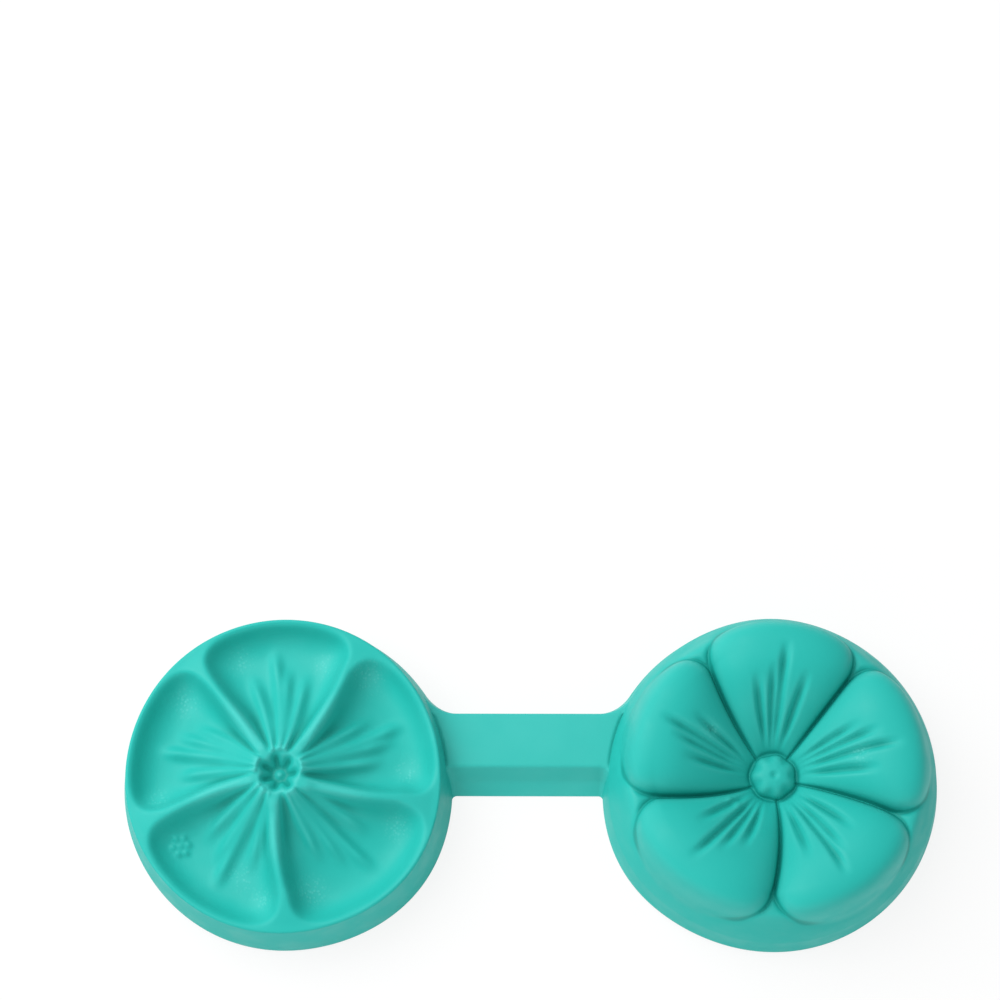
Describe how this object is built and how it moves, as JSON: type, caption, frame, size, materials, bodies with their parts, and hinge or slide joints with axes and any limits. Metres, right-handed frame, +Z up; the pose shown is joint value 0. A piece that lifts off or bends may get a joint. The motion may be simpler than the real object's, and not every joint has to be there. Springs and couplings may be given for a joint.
{
  "type": "silicone fondant mold",
  "caption": "Folding silicone flower mold: a round cavity half and a matching raised petal half on a flexible strap, for pressing veined fondant petals.",
  "frame": {"origin": "on the table, midway between the two halves and under the middle of the overall box", "axes": "+X from the cavity half to the petal half, +Z up, +Y to the side that the strap is set towards"},
  "size_m": [0.1436, 0.0584, 0.0198],
  "materials": {
    "silicone": "satin teal silicone"
  },
  "bodies": {
    "cavity_half": {"cavity_cup": "silicone"},
    "link_1": {"strap_link_1": "silicone"},
    "link_2": {"strap_link_2": "silicone"},
    "link_3": {"strap_link_3": "silicone"},
    "link_4": {"strap_link_4": "silicone"},
    "link_5": {"strap_link_5": "silicone"},
    "petal_half": {"petal_plate": "silicone", "petal_1": "silicone", "petal_2": "silicone", "petal_3": "silicone", "petal_4": "silicone", "petal_5": "silicone", "centre_knob": "silicone"}
  },
  "joints": [
    {"name": "fold_1", "type": "hinge", "parent": "cavity_half", "child": "link_1", "pos_m": [-0.01112, 0.007, 0.0058], "axis": [0, -1, 0], "range_deg": [0, 30], "stiffness_Nm_per_rad": 0.05},
    {"name": "fold_2", "type": "hinge", "parent": "link_1", "child": "link_2", "pos_m": [-0.00667, 0.007, 0.0058], "axis": [0, -1, 0], "range_deg": [0, 30], "stiffness_Nm_per_rad": 0.05},
    {"name": "fold_3", "type": "hinge", "parent": "link_2", "child": "link_3", "pos_m": [-0.00222, 0.007, 0.0058], "axis": [0, -1, 0], "range_deg": [0, 30], "stiffness_Nm_per_rad": 0.05},
    {"name": "fold_4", "type": "hinge", "parent": "link_3", "child": "link_4", "pos_m": [0.00222, 0.007, 0.0058], "axis": [0, -1, 0], "range_deg": [0, 30], "stiffness_Nm_per_rad": 0.05},
    {"name": "fold_5", "type": "hinge", "parent": "link_4", "child": "link_5", "pos_m": [0.00667, 0.007, 0.0058], "axis": [0, -1, 0], "range_deg": [0, 30], "stiffness_Nm_per_rad": 0.05},
    {"name": "fold_6", "type": "hinge", "parent": "link_5", "child": "petal_half", "pos_m": [0.01112, 0.007, 0.0058], "axis": [0, -1, 0], "range_deg": [0, 30], "stiffness_Nm_per_rad": 0.05}
  ]
}
